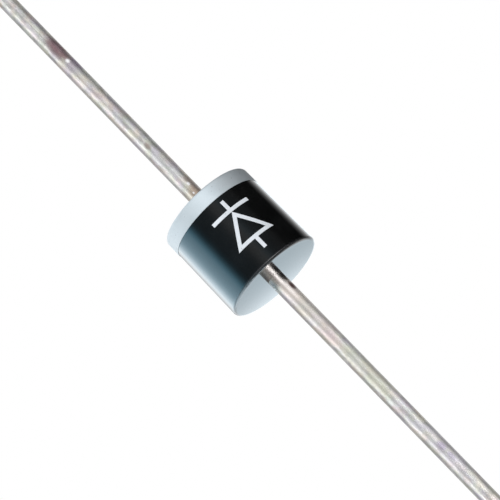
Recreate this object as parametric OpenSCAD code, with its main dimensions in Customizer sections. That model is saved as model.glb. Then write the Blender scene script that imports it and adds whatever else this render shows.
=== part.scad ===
// Axial rectifier diode in a moulded cylindrical body, millimetres.
// The leads lie along X: the cathode is at -X and the anode at +X. The origin is the body's centre.

/* [Moulded body] */
// Diameter of the body at its flat cathode end
body_d_cathode = 8.7; // [7.5:0.05:10]
// Diameter of the body at its flat anode end
body_d_anode = 8.9; // [7.5:0.05:10]
// Length of the body between its two flat ends
body_len = 8.5; // [7.5:0.1:12]
// Radius of the rounded rim at each end
rim_r = 0.25; // [0.1:0.05:0.6]

/* [Cathode band] */
// Width of the printed band, measured from the cathode end
band_w = 1.5; // [1:0.1:2.5]
// Bare strip of rim between the flat end and the ink
band_inset = 0.06; // [0.02:0.02:0.2]
// Thickness of the ink
ink_t = 0.03; // [0.02:0.01:0.08]

/* [Leads] */
// Diameter of the round wire
lead_d = 1.45; // [1:0.05:1.7]
// Length of each lead outside the body
lead_len = 27; // [15:0.5:40]
// Edge broken at the cut tip of each lead
tip_break = 0.12; // [0.05:0.01:0.3]

/* [Lead heads and anchors] */
// Diameter of the flat nail head
head_d = 4.4; // [3.8:0.1:5.4]
// Thickness of the nail head
head_t = 1; // [0.7:0.05:1.3]
// Diameter of the cone where it meets the back of the head
shoulder_d = 2.4; // [2:0.1:3.2]
// Length of the cone behind the head
shoulder_len = 0.6; // [0.3:0.05:0.9]
// Largest diameter of the wedge that locks the lead in the moulding
anchor_d = 2.1; // [1.9:0.05:3]
// Length of the wedge, from the body's flat end inwards
anchor_len = 0.9; // [0.6:0.05:1.1]

/* [Junction] */
// Side of the square silicon die on its cathode face
die_side = 2.8; // [2:0.1:3.2]
// Thickness of the die
die_t = 0.3; // [0.2:0.01:0.4]
// Slant of the die's bevelled edges, which makes its anode face smaller
die_bevel = 0.12; // [0.04:0.02:0.24]
// Thickness of each solder joint
solder_t = 0.08; // [0.04:0.01:0.14]
// Depth of the silicone coating outside the rims of the heads
coating_t = 0.35; // [0.2:0.05:0.6]
// Stretch of each head's rim that the coating laps over
coating_lap = 0.4; // [0.2:0.05:0.6]

/* [Hidden] */

$fn = 96;

// Stations along the anode lead, counted from the body's centre.
head_x = die_t / 2 + solder_t;
head_back_x = head_x + head_t;
shank_x = head_back_x + shoulder_len;
face_x = body_len / 2;
anchor_x = face_x - anchor_len;
tip_x = face_x + lead_len;

lead_r = lead_d / 2;

// Slope of the body's side, and its radius at a station x.
side_slope = (body_d_anode - body_d_cathode) / 2 / body_len;
function side_r(x) = (body_d_cathode + body_d_anode) / 4 + side_slope * x;

// Half of the coating's width, and the radius of its rounded outer corners.
coating_half = head_x + coating_lap;
coating_r = head_d / 2 + coating_t;
coating_corner = min(coating_t, coating_half) * 0.8;

// Turns a section drawn as [radius, station] round the X axis.
module turned() {
    rotate([0, 90, 0])
        rotate_extrude()
            children();
}

// The same section for the cathode's side of the body.
module cathode_side() {
    mirror([0, 1])
        children();
}

// A round rim of radius r that touches the flat end at x = s * face_x and the slanting side.
module rim(s, r, centre_r) {
    translate([centre_r, s * (face_x - rim_r)])
        circle(r = r);
}

// Half section of the moulding, with every surface moved out by grow.
module body_section(grow = 0) {
    r = rim_r + grow;
    slant = sqrt(1 + side_slope * side_slope);
    x = face_x - rim_r;
    cathode_r = side_r(-x) - rim_r * slant;
    anode_r = side_r(x) - rim_r * slant;
    polygon([
        [0, -x - r],
        [cathode_r, -x - r],
        [cathode_r + r / slant, -x - r * side_slope / slant],
        [anode_r + r / slant, x - r * side_slope / slant],
        [anode_r, x + r],
        [0, x + r]
    ]);
    rim(-1, r, cathode_r);
    rim(1, r, anode_r);
}

// Half section of the anode lead: head, cone, shank, wedge and the long outer wire.
module lead_section() {
    polygon([
        [0, head_x],
        [head_d / 2, head_x],
        [head_d / 2, head_back_x],
        [shoulder_d / 2, head_back_x],
        [lead_r, shank_x],
        [lead_r, anchor_x],
        [anchor_d / 2, anchor_x],
        [lead_r, face_x],
        [lead_r, tip_x - tip_break],
        [lead_r - tip_break, tip_x],
        [0, tip_x]
    ]);
}

// Half section of everything that the coating covers or fills, heads included.
module coating_outline() {
    straight = coating_half - coating_corner;
    translate([0, -coating_half])
        square([coating_r - coating_corner, 2 * coating_half]);
    translate([0, -straight])
        square([coating_r, 2 * straight]);
    for (s = [-1, 1])
        translate([coating_r - coating_corner, s * straight])
            circle(r = coating_corner);
}

// Outline of the die in one plane: a trapezium that narrows towards the anode.
module die_outline() {
    half = die_side / 2;
    polygon([
        [-die_t / 2, -half],
        [-die_t / 2, half],
        [die_t / 2, half - die_bevel],
        [die_t / 2, -half + die_bevel]
    ]);
}

module die_solid() {
    intersection() {
        translate([0, 0, -die_side])
            linear_extrude(2 * die_side)
                die_outline();
        rotate([90, 0, 0])
            translate([0, 0, -die_side])
                linear_extrude(2 * die_side)
                    die_outline();
    }
}

// A square solder joint that fills the gap between the die and a head, s = -1 or 1.
module solder_solid(s, side) {
    translate([s * (die_t + solder_t) / 2, 0, 0])
        cube([solder_t, side, side], center = true);
}

// Moulded body, closed round the leads and the coated junction.
module epoxy_body() {
    color([0.06, 0.06, 0.07])
        turned()
            difference() {
                body_section();
                lead_section();
                cathode_side()
                    lead_section();
                coating_outline();
            }
}

// Printed ring that marks the cathode, lying on the body's side and on its rim.
module cathode_band() {
    color([0.78, 0.81, 0.84])
        turned()
            difference() {
                intersection() {
                    body_section(ink_t);
                    translate([0, -face_x + band_inset])
                        square([body_d_cathode, band_w - band_inset]);
                }
                body_section();
            }
}

module anode_lead() {
    color([0.72, 0.71, 0.69])
        turned()
            lead_section();
}

module cathode_lead() {
    color([0.70, 0.69, 0.67])
        turned()
            cathode_side()
                lead_section();
}

module silicon_die() {
    color([0.35, 0.37, 0.42])
        die_solid();
}

module cathode_solder() {
    color([0.60, 0.62, 0.64])
        solder_solid(-1, die_side);
}

module anode_solder() {
    color([0.60, 0.62, 0.64])
        solder_solid(1, die_side - 2 * die_bevel);
}

// Silicone that fills the gap round the die and laps over the rims of both heads.
module junction_coating() {
    color([0.88, 0.86, 0.80])
        difference() {
            turned()
                difference() {
                    coating_outline();
                    lead_section();
                    cathode_side()
                        lead_section();
                }
            die_solid();
            solder_solid(-1, die_side);
            solder_solid(1, die_side - 2 * die_bevel);
        }
}

epoxy_body();
cathode_band();
cathode_lead();
anode_lead();
silicon_die();
cathode_solder();
anode_solder();
junction_coating();
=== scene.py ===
# %% [markdown]
# # An axial rectifier diode
#
# A power diode of the moulded kind is a small black cylinder of plastic with one tinned
# wire leaving each flat end. A pale ring marks the cathode. The solids come from CAD and
# stay as they are. This lesson gives them their finishes, prints the polarity mark on the
# body, and lights the part as a studio would light something small and shiny.

import bpy
import numpy as np
from mathutils import Matrix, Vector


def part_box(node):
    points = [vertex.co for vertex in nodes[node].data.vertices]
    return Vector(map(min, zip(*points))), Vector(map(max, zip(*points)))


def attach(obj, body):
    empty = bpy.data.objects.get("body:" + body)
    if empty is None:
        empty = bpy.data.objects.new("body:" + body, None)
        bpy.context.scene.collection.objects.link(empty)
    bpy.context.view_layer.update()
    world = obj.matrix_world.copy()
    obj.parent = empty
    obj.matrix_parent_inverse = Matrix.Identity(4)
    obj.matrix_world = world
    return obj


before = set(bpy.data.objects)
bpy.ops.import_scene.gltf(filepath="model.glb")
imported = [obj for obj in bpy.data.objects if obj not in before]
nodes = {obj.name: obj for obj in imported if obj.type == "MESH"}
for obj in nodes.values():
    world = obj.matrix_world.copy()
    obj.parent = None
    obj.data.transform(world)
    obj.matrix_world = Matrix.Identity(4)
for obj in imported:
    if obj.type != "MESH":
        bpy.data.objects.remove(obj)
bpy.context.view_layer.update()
print("pieces from CAD:", ", ".join(sorted(nodes)))

# %% [markdown]
# ## Sizes
#
# Every place in this script follows from the boxes of the CAD pieces. The moulded body is
# not a true cylinder: a mould needs a little draft, so the anode end is wider than the
# cathode end. The band is a ring of known thickness on the narrow end, so its box gives the
# side's radius there, and the body's own box gives it at the wide end. Two sizes can't be
# read from a box, the ink's thickness and the rim's radius, so they repeat the solids' own.

# %% Measure the pieces
MM = 0.001
TO_MM = 1000.0
INK = 0.03 * MM
RIM = 0.25 * MM

body_low, body_high = (np.array(corner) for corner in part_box("epoxy_body"))
band_low, band_high = (np.array(corner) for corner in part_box("cathode_band"))

anode_face = body_high[0]
cathode_face = body_low[0]
band_edge = band_high[0]
floor_height = body_low[2]

wide_at, wide_radius = anode_face - RIM, body_high[2]
narrow_at, narrow_radius = band_edge, band_high[2] - INK
draft = (wide_radius - narrow_radius) / (wide_at - narrow_at)


def side_radius(along):
    """Radius of the body's side at a distance along the axis: a straight line in along."""
    return narrow_radius + draft * (along - narrow_at)


print(f"body {TO_MM * (anode_face - cathode_face):.2f} mm long, draft {np.degrees(draft):.2f} degrees")
print(f"radius {TO_MM * side_radius(cathode_face):.2f} mm at the cathode, "
      f"{TO_MM * side_radius(anode_face):.2f} mm at the anode")

# %% [markdown]
# ## Camera
#
# The part lies on a table and is seen from high above, a little from its anode end. A long
# lens from 27 cm keeps the perspective gentle. A camera can be turned by a constraint that
# tracks a target, but here its three axes are worked out from its azimuth and elevation, and
# they are the columns of its matrix, so nothing is left to solve. It aims slightly beside the
# body's centre, which moves the part in the frame without tilting it.

# %% Place the camera
azimuth, elevation = np.radians([48.09, 67.3])
distance = 0.27
aim_right, aim_down = 0.78 * MM, 0.66 * MM
focal_length, sensor_width = 237.7, 36.0
nearest, farthest = 0.005, 5.0

backward = np.array([
    np.sin(azimuth) * np.cos(elevation),
    -np.cos(azimuth) * np.cos(elevation),
    np.sin(elevation),
])
rightward = np.array([np.cos(azimuth), np.sin(azimuth), 0.0])
upward = np.cross(backward, rightward)

aim = aim_right * rightward - aim_down * upward
pose = np.eye(4)
pose[:3, 0] = rightward
pose[:3, 1] = upward
pose[:3, 2] = backward
pose[:3, 3] = aim + distance * backward

camera_data = bpy.data.cameras.new("camera")
camera_data.lens = focal_length
camera_data.sensor_width = sensor_width
camera_data.clip_start = nearest
camera_data.clip_end = farthest
camera = bpy.data.objects.new("camera", camera_data)
camera.matrix_world = Matrix(pose.tolist())
bpy.context.collection.objects.link(camera)
bpy.context.scene.camera = camera
print("camera stands at", np.round(TO_MM * pose[:3, 3], 1), "mm")

# %% [markdown]
# ## Writing a shader as a sum
#
# A material is a graph of nodes, and long graphs are hard to read as code. Here a small
# class, Wire, holds one output socket and gives it +, -, *, / and abs, so a mask is written
# as it would be on paper. A second class, Bench, is a material being built. Every node comes
# from its one method, node, which takes the node's type, then its settings, then the values
# or links of its sockets. A third, Finish, is a bench whose surface is a Principled shader.
# Values that are the same all over a piece go straight onto that shader's sockets, and only
# what changes over the surface is fed by a wire.

# %% Wires and benches


class Wire:
    """One output socket. Arithmetic on a wire adds Math nodes to its material."""

    def __init__(self, bench, socket):
        self.bench = bench
        self.socket = socket

    def math(self, operation, first, second):
        """A Math node that works on two values, of which one at least is a wire."""
        return self.bench.node("ShaderNodeMath", {"operation": operation}, {0: first, 1: second})

    def __add__(self, other):
        return self.math("ADD", self, other)

    def __radd__(self, other):
        return self.math("ADD", other, self)

    def __sub__(self, other):
        return self.math("SUBTRACT", self, other)

    def __rsub__(self, other):
        return self.math("SUBTRACT", other, self)

    def __mul__(self, other):
        return self.math("MULTIPLY", self, other)

    def __rmul__(self, other):
        return self.math("MULTIPLY", other, self)

    def __truediv__(self, other):
        return self.math("DIVIDE", self, other)

    def __abs__(self):
        return self.math("ABSOLUTE", self, 0.0)


class Bench:
    """A material being built. Lengths in its patterns are in millimetres."""

    def __init__(self, name):
        self.material = bpy.data.materials.new(name)
        self.material.use_nodes = True
        self.tree = self.material.node_tree
        self.tree.nodes.clear()

    def node(self, kind, settings=None, sockets=None, out=0):
        """Adds a node, makes its settings, fills its sockets, and returns one of its outputs."""
        node = self.tree.nodes.new(kind)
        for name, value in (settings or {}).items():
            setattr(node, name, value)
        for key, value in (sockets or {}).items():
            if isinstance(value, Wire):
                self.tree.links.new(value.socket, node.inputs[key])
            else:
                node.inputs[key].default_value = value
        return Wire(self, node.outputs[out]) if node.outputs else None

    def show(self, shader):
        """Makes a shader the material's surface."""
        self.node("ShaderNodeOutputMaterial", None, {"Surface": shader})

    def place(self, scale):
        """Object coordinates in millimetres, times a scale for each axis."""
        coordinates = self.node("ShaderNodeTexCoord", out=3)
        return self.node("ShaderNodeMapping", None,
                         {"Vector": coordinates, "Scale": tuple(TO_MM * value for value in scale)})

    def axis(self, index):
        """One of the three object coordinates, in millimetres."""
        coordinates = self.node("ShaderNodeTexCoord", out=3)
        return self.node("ShaderNodeSeparateXYZ", None, {0: coordinates}, out=index) * TO_MM

    def grain(self, scale, detail=2.0, roughness=0.5, seed=0.0):
        """Cloudy noise between 0 and 1. The scale is in waves a millimetre, one for each axis."""
        shifted = self.node("ShaderNodeVectorMath", {"operation": "ADD"},
                            {0: self.place(scale), 1: (seed, 1.7 * seed, 0.3 * seed)})
        return self.node("ShaderNodeTexNoise", None,
                         {"Vector": shifted, "Scale": 1.0, "Detail": detail, "Roughness": roughness})

    def fade(self, wire, low, high, start=0.0, end=1.0):
        """A smooth step from start to end while the wire goes from low to high."""
        return self.node("ShaderNodeMapRange", {"interpolation_type": "SMOOTHSTEP"},
                         {"Value": wire, "From Min": low, "From Max": high,
                          "To Min": start, "To Max": end})

    def spot(self, centre, spread):
        """
        A soft mask that is 1 at a point and 0 past its spread.

        It fades with the sum of the squares of (place - centre) / spread over the three axes.
        """
        total = None
        for index in range(3):
            part = (self.axis(index) - centre[index]) / spread[index]
            square = part * part
            total = square if total is None else total + square
        return self.fade(total, 0.0, 1.0, 1.0, 0.0)

    def mix(self, factor, first, second):
        """A colour between two colours, by a factor from 0 to 1."""
        return self.node("ShaderNodeMix", {"data_type": "RGBA"},
                         {0: factor, 6: first, 7: second}, out=2)

    def bump(self, height, depth):
        """Relief from a height between 0 and 1, with its depth in millimetres."""
        return self.node("ShaderNodeBump", None,
                         {"Height": height, "Strength": 1.0, "Distance": depth * MM})


class Finish(Bench):
    """A material whose surface is one Principled shader."""

    def __init__(self, name, constants):
        super().__init__(name)
        surface = self.node("ShaderNodeBsdfPrincipled", None, constants)
        self.shader = surface.socket.node
        self.show(surface)

    def feed(self, socket, wire):
        """Joins a wire to one socket of the shader."""
        self.tree.links.new(wire.socket, self.shader.inputs[socket])


def rgb(red, green, blue):
    """A colour with full opacity."""
    return (red, green, blue, 1.0)


print("the bench is ready")

# %% [markdown]
# ## Black moulding compound
#
# The body is epoxy filled with fine silica, pressed into a polished mould. It is almost
# black, and what the eye reads as its colour is the gloss: a smooth skin that mirrors the
# room, softened by a faint unevenness of the filler under it. One flat black would look
# like a hole, so the colour drifts a little, the gloss varies in soft patches, and a shallow
# bump at the filler's own scale breaks up the reflections. The rounded rims get rubbed when
# loose parts tumble against each other, so they are a little paler and duller. A bevel node
# can find edges, but it searches round every point as it renders. A mask from the sizes is
# quick and exact: it is 1 where a point is far from the axis and also close to a flat end.

# %% The moulding


def rim_mask(bench):
    """A mask for the rounded rims: a step in the distance from the axis times one in X."""
    across = bench.node("ShaderNodeVectorMath", {"operation": "MULTIPLY"},
                        {0: bench.place((1.0, 1.0, 1.0)), 1: (0.0, 1.0, 1.0)})
    radius = bench.node("ShaderNodeVectorMath", {"operation": "LENGTH"}, {0: across}, out=1)
    edge, rim = TO_MM * wide_radius, TO_MM * RIM
    far_out = bench.fade(radius, edge - 1.5 * rim, edge - 0.5 * rim)
    middle = TO_MM * (anode_face + cathode_face) / 2
    half_length = TO_MM * (anode_face - cathode_face) / 2
    from_middle = abs(bench.axis(0) - middle)
    near_end = bench.fade(from_middle, half_length - 1.3 * rim, half_length - 0.7 * rim)
    return far_out * near_end


def moulding_compound():
    """Gloss plastic with drifting colour, patchy gloss, worn rims and a shallow filler grain."""
    bench = Finish("moulding compound", {"IOR": 1.55})
    cloud = bench.grain((0.7, 0.7, 0.7), detail=3.0, seed=2.0)
    filler = bench.grain((9.0, 9.0, 9.0), detail=2.0, seed=5.0)
    colour = bench.mix(bench.fade(cloud * 0.7 + filler * 0.3, 0.35, 0.65),
                       rgb(0.0034, 0.0036, 0.0038), rgb(0.0062, 0.0065, 0.0068))
    worn = rim_mask(bench) * bench.fade(cloud * 0.5 + filler * 0.5, 0.20, 0.60)
    bench.feed("Base Color", bench.mix(worn * 0.5, colour, rgb(0.035, 0.036, 0.038)))
    bench.feed("Roughness", 0.075 + 0.05 * cloud + 0.02 * filler + worn * 0.14)
    bench.feed("Normal", bench.bump(filler * 0.6 + cloud * 0.4, 0.0006))
    return bench.material


nodes["epoxy_body"].data.materials[0] = moulding_compound()
print("epoxy_body has its finish")

# %% [markdown]
# ## Printing inks
#
# The band is rolled on with a silver-grey ink and the mark is stamped with a white one. Ink
# dries matt, with slight clouds where it lies thicker, and it is thin enough for the black
# under it to show in tiny pinholes. A mask or an image on the body could say where the ink
# is, but here band and mark are solids of their own, so a finish is enough. Both share one
# function: clouds in the colour, pinholes, and a fine orange-peel bump.

# %% The two inks


def printing_ink(name, thick, thin, sheen, seed):
    """Matt ink between a thick and a thin colour, with a few pinholes and a fine relief."""
    bench = Finish(name, {"IOR": 1.5, "Metallic": sheen})
    cloud = bench.grain((1.1, 1.1, 1.1), detail=3.0, seed=seed)
    peel = bench.grain((14.0, 14.0, 14.0), detail=2.0, seed=seed + 3.0)
    colour = bench.mix(bench.fade(cloud * 0.6 + peel * 0.4, 0.34, 0.62), thin, thick)
    pinholes = bench.fade(bench.grain((6.0, 6.0, 6.0), detail=1.0, seed=seed + 7.0), 0.72, 0.78)
    bench.feed("Base Color", bench.mix(pinholes * 0.35, colour, rgb(0.06, 0.06, 0.065)))
    bench.feed("Roughness", 0.34 + 0.12 * cloud + 0.06 * peel)
    bench.feed("Normal", bench.bump(peel, 0.0016))
    return bench.material


band_ink = printing_ink("silver ink", thick=rgb(0.70, 0.745, 0.775), thin=rgb(0.66, 0.71, 0.74),
                        sheen=0.55, seed=1.0)
mark_ink = printing_ink("white ink", thick=rgb(0.90, 0.90, 0.94), thin=rgb(0.80, 0.81, 0.83),
                        sheen=0.0, seed=11.0)
nodes["cathode_band"].data.materials[0] = band_ink
print("cathode_band has its finish")

# %% [markdown]
# ## Tinned copper wire
#
# The leads are drawn copper with a thin coat of tin. Drawing leaves long fine streaks, and
# the tin over them is satin, not mirror bright. A scratched metal could use an anisotropic
# shader, but real streaks differ from each other, so here they are noise that is stretched
# hard along the wire, used three times: in the colour, in the roughness and in the relief.
# Tin also settles in darker patches a fraction of a millimetre long, and it takes faint
# tints: pink against green, and straw against violet.

# %% The tin
TINTS = [
    (41.0, rgb(0.78, 0.62, 0.60), rgb(0.62, 0.70, 0.60)),
    (47.0, rgb(0.76, 0.71, 0.55), rgb(0.66, 0.61, 0.76)),
]


def tinned_copper(name, stains_and_painted_light, nicks):
    """
    Satin metal with streaks along X, mottled patches, faint tints, spots and nicks.

    A spot is a centre and a spread in millimetres, a colour, a strength from 0 to 1, and
    what it adds to the roughness. Most spots are a stain, and some are painted highlights and
    painted shade. A nick is a centre and a spread, and it is always bright.
    """
    bench = Finish(name, {})
    streaks = bench.grain((0.10, 7.0, 7.0), detail=3.0, roughness=0.6, seed=4.0)
    scratches = bench.grain((0.35, 26.0, 26.0), detail=2.0, roughness=0.6, seed=9.0)
    drift = bench.grain((0.22, 0.9, 0.9), detail=2.0, seed=14.0)
    cloud = bench.grain((1.2, 2.4, 2.4), detail=3.0, seed=21.0)
    patches = bench.grain((0.8, 1.9, 1.9), detail=4.0, roughness=0.70, seed=33.0)

    lines = bench.fade(streaks * 0.6 + scratches * 0.4, 0.32, 0.66)
    colour = bench.mix(lines, rgb(0.56, 0.55, 0.535), rgb(0.90, 0.895, 0.885))
    colour = bench.mix(bench.fade(drift, 0.50, 0.72) * 0.35, colour, rgb(0.70, 0.60, 0.58))
    colour = bench.mix(bench.fade(drift, 0.30, 0.46, 1.0, 0.0) * 0.30, colour, rgb(0.60, 0.69, 0.66))
    dark = bench.fade(patches, 0.38, 0.60, 1.0, 0.0)
    colour = bench.mix(dark * 0.85, colour, rgb(0.44, 0.43, 0.42))
    for seed, warm, cold in TINTS:
        tint = bench.grain((0.8, 1.6, 1.6), detail=3.0, seed=seed)
        colour = bench.mix(bench.fade(tint, 0.48, 0.68) * 0.40, colour, warm)
        colour = bench.mix(bench.fade(tint, 0.52, 0.32) * 0.40, colour, cold)

    rough = 0.14 + 0.12 * cloud + 0.06 * scratches
    broken = bench.fade(cloud * 0.6 + scratches * 0.4, 0.18, 0.52)
    # Each spot mixes its colour in. Most are a stain on the tin; some are painted highlight and
    # painted shade.
    for centre, spread, shade, strength, dulling in stains_and_painted_light:
        mask = bench.spot(centre, spread) * broken
        colour = bench.mix(mask * strength, colour, shade)
        rough = rough + mask * dulling
    for centre, spread in nicks:
        colour = bench.mix(bench.spot(centre, spread), colour, rgb(0.98, 0.98, 1.0))

    bench.feed("Base Color", colour)
    bench.feed("Metallic", bench.fade(cloud, 0.1, 0.9, 0.80, 0.95))
    bench.feed("Roughness", rough)
    bench.feed("Normal", bench.bump(streaks * 0.7 + scratches * 0.3, 0.0016))
    return bench.material


print("the tin has", len(TINTS), "pairs of tints")

# %% [markdown]
# ## Marks and painted light on the leads
#
# Handling and heat leave marks on a used wire. They could be painted into an image, but a
# short list of soft spots at known places says the same and stays sharp at any size. The
# tin's own noise breaks the spots up, so that none looks round. The cathode lead has a
# purple-brown stain with a bright nick beside it, a small dark tick between them and the
# body, and brown specks where the wire enters the body. The anode lead has a pale pink
# stretch at its foot, then pink and olive tints, and violet spots further out. Its foot
# also carries painted light: a near-white painted highlight along the top of the wire, and
# two near-black strips of painted shade on the side away from the light.

# %% Stain the leads
cathode_stains = [
    ((-23.0, 0.14, 0.70), (2.1, 0.84, 0.84), rgb(0.22, 0.125, 0.145), 0.92, 0.10),
    ((-21.0, 0.45, 0.55), (0.9, 0.45, 0.45), rgb(0.28, 0.21, 0.32), 0.85, 0.05),
    ((-20.9, 0.10, 0.71), (1.1, 0.90, 0.90), rgb(0.48, 0.43, 0.50), 0.65, 0.0),
    ((-11.3, -0.20, 0.69), (0.5, 0.30, 0.30), rgb(0.36, 0.30, 0.27), 0.80, 0.0),
    ((-6.6, 0.35, 0.62), (0.9, 0.50, 0.50), rgb(0.40, 0.31, 0.24), 0.65, 0.0),
    ((-5.6, 0.05, 0.72), (0.9, 0.62, 0.62), rgb(0.40, 0.29, 0.22), 0.80, 0.08),
    ((-4.9, 0.45, 0.55), (0.6, 0.45, 0.45), rgb(0.30, 0.19, 0.14), 0.85, 0.0),
]
cathode_nicks = [
    ((-21.62, 0.02, 0.72), (0.28, 0.24, 0.24)),
    ((-6.52, 0.08, 0.71), (0.24, 0.18, 0.18)),
    ((-5.6, -0.14, 0.70), (0.14, 0.10, 0.10)),
]
anode_stains_and_painted_light = [
    ((8.0, 0.30, 0.60), (4.5, 1.20, 1.20), rgb(0.72, 0.66, 0.61), 0.60, 0.0),
    ((5.6, 0.10, 0.70), (2.4, 0.75, 0.75), rgb(0.86, 0.76, 0.71), 0.80, 0.0),
    ((11.2, -0.30, 0.66), (1.6, 0.60, 0.60), rgb(0.78, 0.64, 0.62), 0.60, 0.0),
    ((15.6, 0.00, 0.70), (3.8, 1.00, 1.00), rgb(0.63, 0.65, 0.54), 0.60, 0.0),
    ((24.0, 0.00, 0.72), (0.6, 0.38, 0.38), rgb(0.34, 0.27, 0.42), 0.80, 0.0),
    ((25.1, 0.00, 0.72), (0.6, 0.30, 0.30), rgb(0.38, 0.32, 0.45), 0.75, 0.0),
    ((24.8, 0.10, 0.71), (3.6, 1.10, 1.10), rgb(0.62, 0.60, 0.66), 0.45, 0.0),
    # Painted highlight: a near-white strip along the top of the wire at its foot.
    ((5.3, 0.02, 0.72), (1.9, 0.30, 0.30), rgb(0.98, 0.93, 0.90), 0.90, 0.0),
    # Painted shade: two near-black strips on the side of the wire away from the light, at its foot.
    ((4.70, 0.46, 0.56), (0.66, 0.37, 0.37), rgb(0.06, 0.05, 0.05), 1.00, 0.0),
    ((5.82, 0.46, 0.56), (0.56, 0.37, 0.37), rgb(0.11, 0.05, 0.05), 1.00, 0.0),
]
nodes["cathode_lead"].data.materials[0] = tinned_copper(
    "tinned copper at the cathode", cathode_stains, cathode_nicks)
nodes["anode_lead"].data.materials[0] = tinned_copper(
    "tinned copper at the anode", anode_stains_and_painted_light, [])
print("marks:", len(cathode_stains) + len(cathode_nicks), "at the cathode,",
      len(anode_stains_and_painted_light), "at the anode")

# %% [markdown]
# ## Inside the body
#
# Four pieces are closed inside the moulding and only show if the body is cut or hidden: the
# silicon die, the solder on each side of it, and the silicone that guards its edges. They
# still get finishes of their own, because someone who opens the part should find the real
# thing. Etched silicon is a grey half-metal with shallow pits, which is cloudy noise in the
# colour and the relief. Solder freezes in grains, and a Voronoi pattern gives their dark
# borders. Cured silicone is milky, so a little light goes into it and comes out again.

# %% The hidden finishes


def etched_silicon():
    """Dark grey semi-metal with etch pits."""
    bench = Finish("etched silicon", {"Metallic": 0.7})
    pits = bench.grain((12.0, 12.0, 12.0), detail=3.0, seed=3.0)
    bench.feed("Base Color", bench.mix(pits, rgb(0.22, 0.24, 0.28), rgb(0.38, 0.40, 0.44)))
    bench.feed("Roughness", 0.32 + 0.25 * pits)
    bench.feed("Normal", bench.bump(pits, 0.004))
    return bench.material


def reflowed_solder():
    """Frosty metal whose grains are the cells of a Voronoi pattern."""
    bench = Finish("reflowed solder", {"Metallic": 0.95})
    cells = bench.node("ShaderNodeTexVoronoi", {"feature": "F1"},
                       {"Vector": bench.place((4.0, 4.0, 4.0)), "Scale": 1.0})
    frost = bench.grain((20.0, 20.0, 20.0), seed=8.0)
    border = bench.fade(cells, 0.35, 0.75)
    bench.feed("Base Color", bench.mix(border, rgb(0.56, 0.57, 0.59), rgb(0.40, 0.41, 0.43)))
    bench.feed("Roughness", 0.30 + 0.18 * frost + 0.12 * border)
    bench.feed("Normal", bench.bump(1.0 - border, 0.006))
    return bench.material


def cured_silicone():
    """Milky rubber with slow clouds and tiny bubbles."""
    bench = Finish("cured silicone", {"IOR": 1.41, "Subsurface Weight": 0.15,
                                      "Subsurface Radius": (0.6 * MM, 0.5 * MM, 0.4 * MM)})
    cloud = bench.grain((0.9, 0.9, 0.9), detail=3.0, seed=6.0)
    bubbles = bench.fade(bench.grain((7.0, 7.0, 7.0), detail=0.0, seed=2.0), 0.68, 0.80)
    bench.feed("Base Color", bench.mix(cloud, rgb(0.78, 0.75, 0.68), rgb(0.84, 0.82, 0.78)))
    bench.feed("Roughness", 0.38 + 0.15 * cloud)
    bench.feed("Normal", bench.bump(bubbles, 0.006))
    return bench.material


solder = reflowed_solder()
nodes["silicon_die"].data.materials[0] = etched_silicon()
nodes["cathode_solder"].data.materials[0] = solder
nodes["anode_solder"].data.materials[0] = solder
nodes["junction_coating"].data.materials[0] = cured_silicone()
print("the four inner pieces have their finishes")

# %% [markdown]
# ## The polarity mark
#
# The body carries a print in white ink. Here it is the generic symbol of a diode: a line, a
# hollow triangle that points to the cathode, a bar across its tip, and a line out. Each
# stroke is drawn flat as a four-cornered patch, with mitred corners where two strokes meet,
# and then rolled onto the tapered side. A shrinkwrap modifier could press a flat symbol onto
# the side, but the strokes would change their width on the way. Rolling turns a sideways
# distance into an angle, so they keep their true size on the curved surface.

# %% Roll a stroke onto the side
MARK_INK = 0.02 * MM
SUNK = 0.002 * MM
STEPS_ALONG, STEPS_ACROSS = 24, 48


def rolled_patch(corners):
    """
    A thin closed plate on the body's side.

    The flat place is the blend of four corners, (1-u)(1-v)A + u(1-v)B + uvC + (1-u)vD. Its
    first coordinate is the distance along the axis. Its second, divided by the side's radius
    there, is the angle round the axis from straight up. The radius is the side's radius plus
    the ink's thickness for the top and a hair less than the side's radius for the bottom, and
    a rim joins the two.
    """
    u, v = np.meshgrid(np.linspace(0, 1, STEPS_ALONG + 1), np.linspace(0, 1, STEPS_ACROSS + 1),
                       indexing="ij")
    a, b, c, d = (np.array(corner)[:, None, None] for corner in corners)
    along, across = (1 - u) * (1 - v) * a + u * (1 - v) * b + u * v * c + (1 - u) * v * d
    base = side_radius(along)
    angle = across / base
    layers = []
    for radius in (base + MARK_INK, base - SUNK):
        layers.append(np.stack([along, radius * np.sin(angle), radius * np.cos(angle)], -1))
    points = np.concatenate([layer.reshape(-1, 3) for layer in layers])

    index = np.arange(u.size).reshape(u.shape)
    top = np.stack([index[:-1, :-1], index[1:, :-1], index[1:, 1:], index[:-1, 1:]], -1)
    top = top.reshape(-1, 4)
    under = top[:, ::-1] + u.size
    border = np.concatenate([index[:-1, 0], index[-1, :-1], index[:0:-1, -1], index[0, :0:-1]])
    after = np.roll(border, -1)
    rim = np.stack([border, border + u.size, after + u.size, after], -1)
    return points, np.concatenate([top, under, rim])


def piece_from(name, parts, finish):
    """One mesh object from several point and face arrays."""
    starts = np.cumsum([0] + [len(points) for points, _ in parts])
    points = np.concatenate([points for points, _ in parts])
    faces = np.concatenate([faces + start for (_, faces), start in zip(parts, starts)])
    mesh = bpy.data.meshes.new(name)
    mesh.from_pydata(points.tolist(), [], faces.tolist())
    mesh.materials.append(finish)
    mesh.validate()
    mesh.update()
    piece = bpy.data.objects.new(name, mesh)
    bpy.context.collection.objects.link(piece)
    return piece


print("a stroke has", 2 * STEPS_ALONG * STEPS_ACROSS, "faces and a rim")

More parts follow.
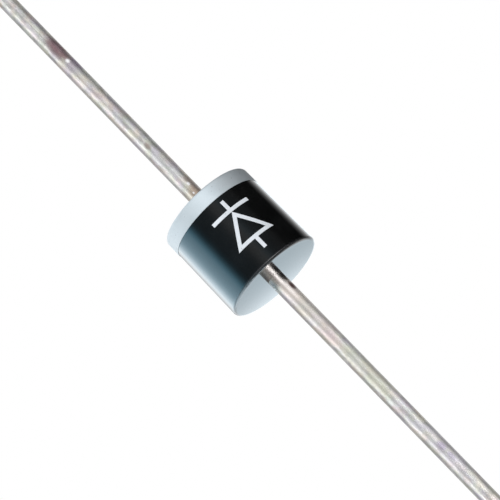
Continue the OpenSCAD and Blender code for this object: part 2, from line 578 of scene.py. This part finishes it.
# %% [markdown]
# ## The symbol's strokes
#
# The triangle is hollow, so its three sides are strokes with mitred ends. The inner triangle
# has the same shape as the outer one, and every side of it lies one stroke's width inside.
# Similar triangles give its corners: a slanted side moved in by w meets the axis w times
# slant / height further along, where slant is the length of the side from tip to corner.

# %% Stamp the symbol
STROKE = 0.33 * MM
symbol_start = -2.30 * MM
symbol_end = 3.05 * MM
bar_at = -1.05 * MM
bar_back = bar_at - STROKE
base_at = 1.95 * MM
half_height = 1.90 * MM
half = STROKE / 2

slant = np.hypot(base_at - bar_at, half_height)
inner_base = base_at - STROKE
inner_tip = bar_at + STROKE * slant / half_height
inner_half = half_height * (inner_base - inner_tip) / (base_at - bar_at)

outer = [(bar_at, 0.0), (base_at, half_height), (base_at, -half_height)]
inner = [(inner_tip, 0.0), (inner_base, inner_half), (inner_base, -inner_half)]
strokes = [
    [(symbol_start, -half), (bar_back, -half), (bar_back, half), (symbol_start, half)],
    [(bar_back, -half_height), (bar_at, -half_height), (bar_at, half_height), (bar_back, half_height)],
    [outer[0], inner[0], inner[1], outer[1]],
    [outer[1], inner[1], inner[2], outer[2]],
    [outer[2], inner[2], inner[0], outer[0]],
    [(base_at, -half), (symbol_end, -half), (symbol_end, half), (base_at, half)],
]
polarity_mark = piece_from("polarity_mark", [rolled_patch(corners) for corners in strokes], mark_ink)
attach(polarity_mark, "root")
print("polarity mark:", len(polarity_mark.data.polygons), "faces")

# %% [markdown]
# ## Table and room
#
# The table is plain white and glows evenly, like a light table, so it takes no shadow. A
# white plane under lamps would show their falloff, and this one can't. It and the world
# behind it are only there for the camera. What lights the part is described next.

# %% The table
WHITE = rgb(1.0, 1.0, 1.0)
TABLE_REACH = 0.8
TABLE_GAP = 0.02 * MM


def even_glow(name, colour):
    """A material that only gives off light, the same everywhere."""
    bench = Bench(name)
    bench.show(bench.node("ShaderNodeEmission", None, {"Color": colour, "Strength": 1.0}))
    return bench.material


def seen_only_by(piece, camera=False, light=False):
    """Chooses whether the camera sees a piece, and whether light paths from others meet it."""
    piece.visible_camera = camera
    piece.visible_diffuse = light
    piece.visible_glossy = light
    piece.visible_transmission = light
    piece.visible_volume_scatter = False
    piece.visible_shadow = False


table_corners = TABLE_REACH * np.array([[-1, -1, 0], [1, -1, 0], [1, 1, 0], [-1, 1, 0]])
table_corners[:, 2] = floor_height - TABLE_GAP
table = piece_from("table", [(table_corners, np.array([[0, 1, 2, 3]]))],
                   even_glow("white table", WHITE))
seen_only_by(table, camera=True)

world = bpy.data.worlds.new("white room")
world.use_nodes = True
world.node_tree.nodes["Background"].inputs["Color"].default_value = WHITE
bpy.context.scene.world = world
world.cycles_visibility.camera = True
world.cycles_visibility.diffuse = False
world.cycles_visibility.glossy = False
world.cycles_visibility.transmission = False
world.cycles_visibility.scatter = False
bpy.context.scene.view_settings.view_transform = "Standard"
print("table at", round(TO_MM * floor_height, 2), "mm")

# %% [markdown]
# ## Lights that can be seen through
#
# The lights are meshes that glow, close to the part, and several of them surround it at once.
# A solid glowing mesh would hide the next one, so theirs adds an emission to a transparent
# shader: a ray picks up the light and goes on. How bright each point is, is worked out with
# numpy and stored in the mesh as a colour. Black plastic and bright metal need different
# exposures to show both, and light linking gives each light the pieces that it may light.

# %% Make a mesh a light


def clear_glow(name):
    """A material that adds the light stored in the mesh to whatever passes through it."""
    bench = Bench(name)
    stored = bench.node("ShaderNodeAttribute", {"attribute_name": "glow"})
    light = bench.node("ShaderNodeEmission", None, {"Color": stored})
    clear = bench.node("ShaderNodeBsdfTransparent")
    bench.show(bench.node("ShaderNodeAddShader", None, {0: light, 1: clear}))
    return bench.material


def raise_light(name, points, faces, light, receivers):
    """Makes a glowing mesh with red, green and blue at each point, and links it to its pieces."""
    piece = piece_from(name, [(points, faces)], clear_glow(name))
    colours = np.ones((len(points), 4), dtype=np.float32)
    colours[:, :3] = light
    glow = piece.data.color_attributes.new("glow", "FLOAT_COLOR", "POINT")
    glow.data.foreach_set("color", colours.ravel())
    seen_only_by(piece, light=True)
    lit = bpy.data.collections.new("lit by " + name)
    for receiver in receivers:
        lit.objects.link(receiver)
    piece.light_linking.receiver_collection = lit
    print(name, "lights", len(receivers), "pieces")


print("lights are clear and linked")

# %% [markdown]
# ## Tents
#
# A glossy cylinder mirrors its whole room squeezed into thin lines along its side. A studio
# controls that with a tent: a tube of white cloth round the part, brighter in some directions
# and dark in others. Area lamps could light the part too, but each one mirrors as a bar with
# hard edges, and a tent fades from any angle to the next. A tent here is a tube about the
# part's axis. Its light is a table of angles, counted from straight up towards the back, and
# along the axis it changes from one table to another. Its rings lie close together in the
# middle, where that change has to be smooth, and the two at each end draw it in.

# %% Raise a tent
TENT_STEP = 2.5
TENT_END, TENT_MIDDLE, MIDDLE_RINGS = 0.3, 0.12, 121
TENT_RINGS = np.concatenate([[-TENT_END, -TENT_END],
                             np.linspace(-TENT_MIDDLE, TENT_MIDDLE, MIDDLE_RINGS),
                             [TENT_END, TENT_END]])
DRAWN_IN = 0.1
LESS_RED, MORE_BLUE = 0.55, 0.32


def cooled(rows):
    """
    Turns rows of angle, brightness and coolness into angle, red, green and blue.

    Cool light has its red lowered and its blue raised in proportion to its coolness.
    """
    return np.array([(angle, level * (1 - LESS_RED * cool), level, level * (1 + MORE_BLUE * cool))
                     for angle, level, cool in rows])


def light_tent(name, radius, sections, receivers):
    """
    A tube of light about the X axis, with both ends drawn in.

    Each section is a place along X and a table. A row of the table is an angle in degrees,
    counted from +Z towards +Y, then the brightness and the coolness of what comes from there.
    Between two angles, and between two sections, the light changes along a straight line.
    A point at angle t lies at (x, R sin t, R cos t).
    """
    angle = np.arange(-180.0, 180.0, TENT_STEP)
    turn = np.radians(angle)
    radii = np.full(TENT_RINGS.size, radius)
    radii[[0, -1]] = DRAWN_IN * radius

    tables = [cooled(rows) for _, rows in sections]
    lit = np.array([[np.interp(angle, rows[:, 0], rows[:, 1 + band], period=360.0)
                     for band in range(3)] for rows in tables])
    places = np.array([place for place, _ in sections])
    weight = np.array([np.interp(TENT_RINGS, places, row) for row in np.eye(len(places))])
    light = np.einsum("sx,sba->xab", weight, lit)

    rings = np.stack([
        np.repeat(TENT_RINGS[:, None], angle.size, 1),
        radii[:, None] * np.sin(turn)[None, :],
        radii[:, None] * np.cos(turn)[None, :],
    ], -1)
    index = np.arange(TENT_RINGS.size * angle.size).reshape(TENT_RINGS.size, angle.size)
    onward = np.roll(index, -1, axis=1)
    faces = np.stack([index[:-1], index[1:], onward[1:], onward[:-1]], -1).reshape(-1, 4)
    raise_light(name, rings.reshape(-1, 3), faces, light.reshape(-1, 3), receivers)


print("a tent has", TENT_RINGS.size, "rings")

# %% [markdown]
# ## Light for the plastic
#
# From the camera, each stretch of the tent shows in another part of the body. The middle
# stretch shows in the side. It is bright in front and below, and from there to the top and
# over to the back it is dark, but for one faint streak. Past the anode's end there is a
# window, a table that only the flat end mirrors, and past that a third table that shows in
# the rounded rim alone. The far ends are calm, so the body looks lit but not burnt out from
# the sides and from behind.

# %% Tent for the plastic
calm_light = [
    (-180, 0.40, 0.0), (-130, 0.45, 0.1), (-95, 0.70, 0.2), (-60, 0.95, 0.2), (-35, 0.75, 0.1),
    (-20, 1.15, 0.0), (20, 1.15, 0.0), (35, 0.75, 0.0), (60, 0.60, 0.0), (95, 0.50, 0.0),
    (130, 0.42, 0.0),
]
plastic_light = [
    (-180, 0.85, 0.0), (-174, 1.15, 0.0), (-163, 2.6, 0.1), (-151, 4.5, 0.2), (-137, 4.6, 0.35),
    (-125, 3.85, 0.5), (-115, 3.4, 0.6), (-105, 3.2, 0.65), (-96, 2.95, 0.7), (-88, 2.65, 0.8),
    (-80, 1.75, 1.0), (-73, 0.80, 1.0), (-65, 0.25, 0.9), (-56, 0.15, 0.5), (-30, 0.17, 0.4),
    (-18, 0.25, 0.2), (-12, 0.38, 0.1), (0, 0.50, 0.1), (7, 0.44, 0.3), (14, 0.30, 0.4),
    (22, 0.18, 0.3), (45, 0.12, 0.1), (56, 0.02, 0.0), (104, 0.01, 0.0), (112, 0.22, 0.0),
    (119, 0.55, 0.0), (136, 1.45, 0.0), (150, 1.85, 0.2), (165, 1.72, 0.35),
]
plastic_window = [
    (-180, 1.30, 0.1), (-150, 2.10, 0.3), (-120, 1.70, 0.4), (-90, 1.40, 0.3), (-62, 1.30, 0.1),
    (-30, 1.50, 0.0), (-12, 3.20, 0.0), (2, 6.40, 0.0), (12, 7.00, 0.0), (24, 4.00, 0.0),
    (40, 0.15, 0.0), (100, 0.10, 0.0), (130, 0.90, 0.1), (150, 1.60, 0.2), (165, 1.85, 0.3),
]
plastic_rim = [
    (-180, 3.60, 0.2), (-160, 5.00, 0.3), (-125, 5.00, 0.4), (-105, 4.40, 0.4), (-90, 3.20, 0.5),
    (-75, 1.60, 0.6), (-60, 0.30, 0.5), (-40, 0.05, 0.0), (40, 0.05, 0.0), (90, 0.60, 0.0),
    (115, 2.40, 0.0), (140, 2.80, 0.1), (160, 3.00, 0.2),
]
light_tent("tent for the plastic", radius=0.110,
           sections=[(-0.100, calm_light), (-0.060, plastic_light), (0.020, plastic_light),
                     (0.030, plastic_window), (0.043, plastic_window), (0.065, plastic_rim),
                     (0.120, plastic_rim), (0.300, calm_light)],
           receivers=[nodes["epoxy_body"]])

# %% [markdown]
# ## Light for the metal
#
# A thin wire needs broad, gentle light, or it turns into one white line. The table has a
# bright patch low in front and another near the top, with grey between them, which draws the
# two long highlights of a round wire. Towards the anode's end the second patch reaches
# further back. The foot of the lead mirrors the window past the end.

# %% Tent for the metal
metal_light = [
    (-180, 0.60, 0.0), (-149, 0.56, 0.0), (-128, 0.46, 0.0), (-108, 0.60, 0.0), (-92, 1.05, 0.0),
    (-80, 1.42, 0.0), (-68, 1.50, 0.0), (-58, 1.20, 0.0), (-44, 0.84, 0.0), (-29, 0.68, 0.0),
    (-16, 0.72, 0.0), (-3, 0.90, 0.0), (9, 1.02, 0.0), (22, 0.90, 0.0), (37, 0.66, 0.0),
    (53, 0.40, 0.0), (70, 0.24, 0.0), (88, 0.26, 0.0), (114, 0.50, 0.0), (140, 0.60, 0.0),
]
metal_further_back = {-58: 1.25, -44: 0.88, -16: 0.66, -3: 0.84, 9: 1.06, 22: 1.10, 37: 1.02,
                      53: 0.76, 70: 0.50, 88: 0.34}
metal_light_at_the_anode = [(angle, metal_further_back.get(angle, level), cool)
                            for angle, level, cool in metal_light]
metal_window = [
    (-180, 0.60, 0.0), (-130, 0.55, 0.0), (-100, 0.80, 0.0), (-70, 1.30, 0.0), (-45, 1.20, 0.0),
    (-25, 1.40, 0.0), (-8, 4.40, 0.0), (6, 7.60, 0.0), (20, 7.60, 0.0), (32, 5.40, 0.0),
    (44, 1.60, 0.0), (56, 0.30, 0.0), (75, 0.18, 0.0), (100, 0.20, 0.0), (130, 0.40, 0.0),
]
light_tent("tent for the metal", radius=0.115,
           sections=[(-0.110, calm_light), (-0.080, metal_light), (-0.042, metal_light),
                     (-0.010, metal_light_at_the_anode), (0.026, metal_light_at_the_anode),
                     (0.034, metal_window), (0.044, metal_window), (0.056, calm_light)],
           receivers=[nodes["cathode_lead"], nodes["anode_lead"]])

# %% [markdown]
# ## Light for the inks
#
# Ink is matt, so it blurs what it mirrors, and one table for the whole length is enough. It
# is brightest low in front and near the top, and it falls to dark behind, so that the band
# is shaded as a ring and not as a flat stripe.

# %% Tent for the inks
ink_light = [
    (-180, 1.05, 0.1), (-150, 1.15, 0.1), (-120, 1.15, 0.1), (-95, 1.00, 0.15), (-69, 0.60, 0.15),
    (-45, 0.84, 0.1), (-15, 1.26, 0.1), (0, 1.55, 0.1), (10, 1.22, 0.1), (22, 0.70, 0.1),
    (40, 0.48, 0.0), (60, 0.28, 0.0), (90, 0.04, 0.0), (110, 0.02, 0.0), (135, 0.16, 0.0),
    (160, 0.66, 0.05),
]
light_tent("tent for the inks", radius=0.120, sections=[(0.0, ink_light)],
           receivers=[nodes["cathode_band"], polarity_mark])

# %% [markdown]
# ## A card at the foot of the anode's end
#
# The flat end of the body mirrors the strip of table right in front of it. On a real table
# that strip is brightest close to the part, where light bounces between the two, so the
# mirror image fades upwards. A tent is too far away to do that. A small card on the table
# does it: its light falls off with the distance from the end face, and it is clear like the
# tents.

# %% Lay the card
CARD_STEPS = 25
CARD_TINT = np.array([0.97, 1.0, 1.04])


def foot_card(name, depth, half_width, strength, receivers):
    """
    A strip on the table before the anode's end.

    With s from 0 at the end face to 1, and t from -1 to 1 across, its light is the strength
    times the cube of 1 - s, times 1 - t to the fourth.
    """
    s, t = np.meshgrid(np.linspace(0, 1, CARD_STEPS), np.linspace(-1, 1, CARD_STEPS), indexing="ij")
    points = np.stack([anode_face + depth * s, half_width * t, np.full(s.shape, floor_height)], -1)
    index = np.arange(s.size).reshape(s.shape)
    faces = np.stack([index[:-1, :-1], index[1:, :-1], index[1:, 1:], index[:-1, 1:]], -1)
    light = (strength * (1 - s) ** 3 * (1 - t ** 4))[:, :, None] * CARD_TINT
    raise_light(name, points.reshape(-1, 3), faces.reshape(-1, 4), light.reshape(-1, 3), receivers)


foot_card("card at the foot", depth=3.2 * MM, half_width=9 * MM, strength=1.55,
          receivers=[nodes["epoxy_body"]])
